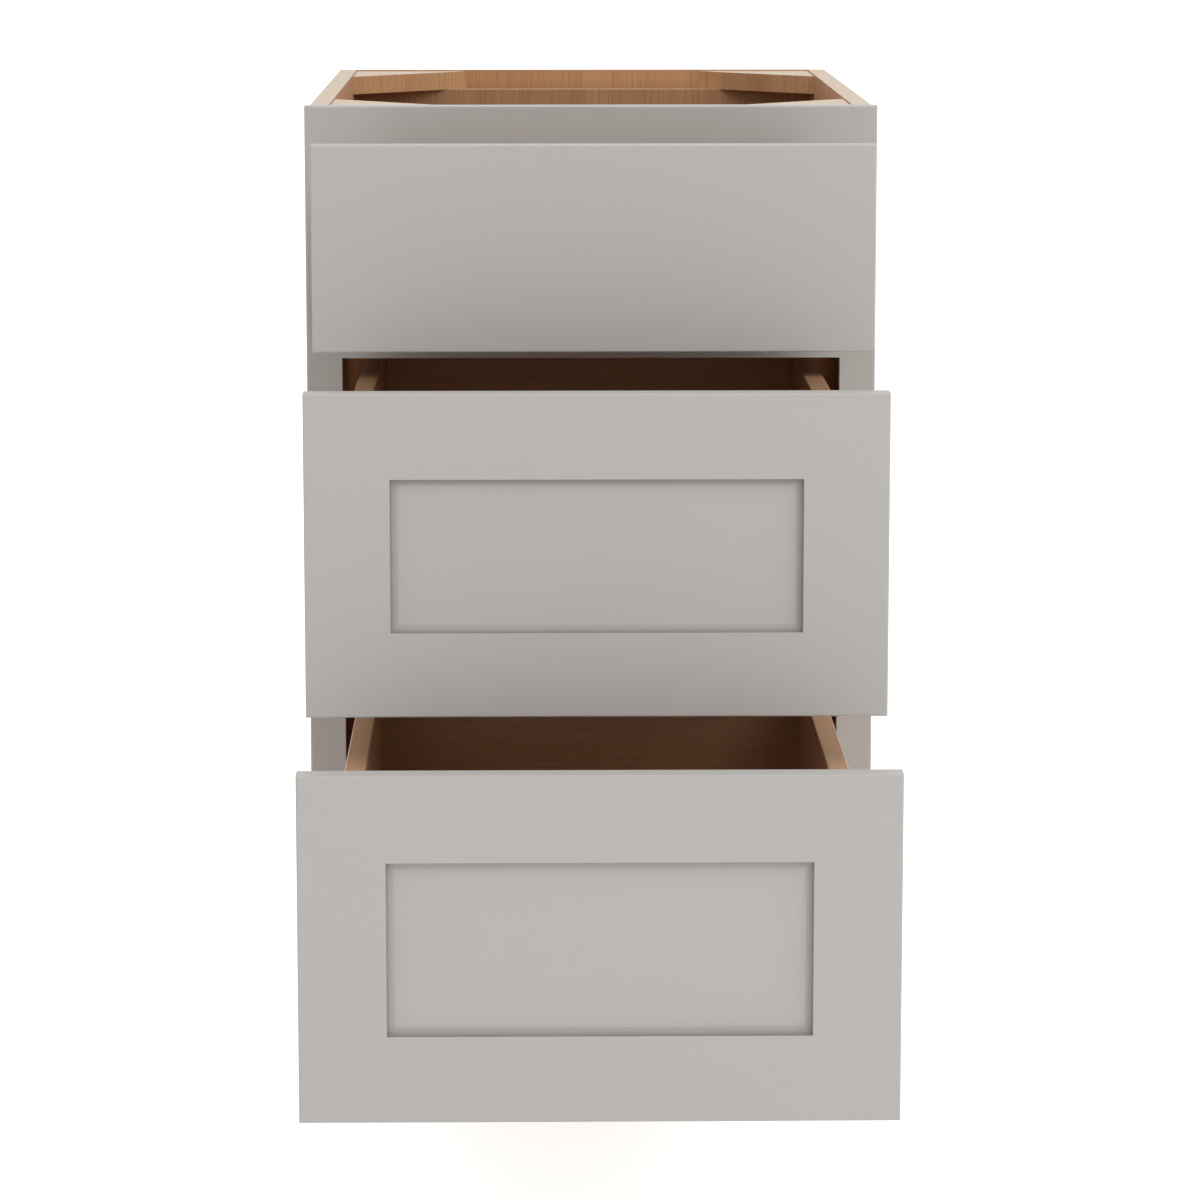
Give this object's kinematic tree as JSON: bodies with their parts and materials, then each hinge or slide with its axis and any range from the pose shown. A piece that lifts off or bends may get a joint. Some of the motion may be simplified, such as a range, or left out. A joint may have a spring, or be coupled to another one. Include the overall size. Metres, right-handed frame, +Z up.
{
  "type": "base cabinet with drawers",
  "caption": "Face-frame kitchen base cabinet with a flat top drawer and panelled lower drawers on full-extension undermount runners, open on top for a worktop.",
  "frame": {"origin": "on the floor, at the middle of the cabinet's width, in the plane of its back", "axes": "+X to the right seen from the front, +Y towards the wall, +Z up; the drawers slide out along -Y"},
  "size_m": [0.4572, 1.0844, 0.8255],
  "materials": {
    "grey_paint": "satin sprayed paint over hardwood and fibreboard",
    "cabinet_plywood": "clear-coated maple veneer plywood, painted outside",
    "drawer_maple": "clear-coated solid maple",
    "zinc_steel": "zinc plated",
    "screw_steel": "yellow zinc plated",
    "grey_plastic": "moulded, fine texture",
    "bumper_rubber": "soft translucent"
  },
  "bodies": {
    "cabinet": {"back_panel": "cabinet_plywood", "bottom_panel": "cabinet_plywood", "cabinet_runners": "zinc_steel", "corner_brace_front_left": "grey_paint", "corner_brace_front_right": "grey_paint", "corner_brace_rear_left": "cabinet_plywood", "corner_brace_rear_right": "cabinet_plywood", "frame_bottom_rail": "grey_paint", "frame_lower_middle_rail": "grey_paint", "frame_stile_left": "grey_paint", "frame_stile_right": "grey_paint", "frame_top_rail": "grey_paint", "frame_upper_middle_rail": "grey_paint", "hanging_rail": "cabinet_plywood", "rear_brackets": "grey_plastic", "runner_screws": "screw_steel", "side_panel_left": "cabinet_plywood", "side_panel_right": "cabinet_plywood", "toe_kick_board": "grey_paint"},
    "top_drawer": {"top_box_back": "drawer_maple", "top_box_bottom": "drawer_maple", "top_box_front": "drawer_maple", "top_box_side_left": "drawer_maple", "top_box_side_right": "drawer_maple", "top_drawer_runners": "zinc_steel", "top_front_bumpers": "bumper_rubber", "top_front_screws": "screw_steel", "top_front_slab": "grey_paint", "top_locking_clips": "grey_plastic"},
    "top_runner_members": {"top_intermediate_runners": "zinc_steel"},
    "middle_drawer": {"middle_box_back": "drawer_maple", "middle_box_bottom": "drawer_maple", "middle_box_front": "drawer_maple", "middle_box_side_left": "drawer_maple", "middle_box_side_right": "drawer_maple", "middle_drawer_runners": "zinc_steel", "middle_front_bumpers": "bumper_rubber", "middle_front_panel": "grey_paint", "middle_front_rail_bottom": "grey_paint", "middle_front_rail_top": "grey_paint", "middle_front_screws": "screw_steel", "middle_front_stile_left": "grey_paint", "middle_front_stile_right": "grey_paint", "middle_locking_clips": "grey_plastic"},
    "middle_runner_members": {"middle_intermediate_runners": "zinc_steel"},
    "bottom_drawer": {"bottom_box_back": "drawer_maple", "bottom_box_bottom": "drawer_maple", "bottom_box_front": "drawer_maple", "bottom_box_side_left": "drawer_maple", "bottom_box_side_right": "drawer_maple", "bottom_drawer_runners": "zinc_steel", "bottom_front_bumpers": "bumper_rubber", "bottom_front_panel": "grey_paint", "bottom_front_rail_bottom": "grey_paint", "bottom_front_rail_top": "grey_paint", "bottom_front_screws": "screw_steel", "bottom_front_stile_left": "grey_paint", "bottom_front_stile_right": "grey_paint", "bottom_locking_clips": "grey_plastic"},
    "bottom_runner_members": {"bottom_intermediate_runners": "zinc_steel"}
  },
  "joints": [
    {"name": "top_drawer_slide", "type": "slide", "parent": "cabinet", "child": "top_drawer", "axis": [0, -1, 0], "range_m": [-0.14224, 0.36576]},
    {"name": "top_member_slide", "type": "slide", "parent": "cabinet", "child": "top_runner_members", "axis": [0, -1, 0], "range_m": [-0.07112, 0.18288]},
    {"name": "middle_drawer_slide", "type": "slide", "parent": "cabinet", "child": "middle_drawer", "axis": [0, -1, 0], "range_m": [-0.30226, 0.20574]},
    {"name": "middle_member_slide", "type": "slide", "parent": "cabinet", "child": "middle_runner_members", "axis": [0, -1, 0], "range_m": [-0.15113, 0.10287]},
    {"name": "bottom_drawer_slide", "type": "slide", "parent": "cabinet", "child": "bottom_drawer", "axis": [0, -1, 0], "range_m": [-0.45415, 0.05385]},
    {"name": "bottom_member_slide", "type": "slide", "parent": "cabinet", "child": "bottom_runner_members", "axis": [0, -1, 0], "range_m": [-0.22708, 0.02692]}
  ],
  "couplings": [
    {"joint": "top_member_slide", "follows": "top_drawer_slide", "ratio": 0.5},
    {"joint": "middle_member_slide", "follows": "middle_drawer_slide", "ratio": 0.5},
    {"joint": "bottom_member_slide", "follows": "bottom_drawer_slide", "ratio": 0.5}
  ]
}
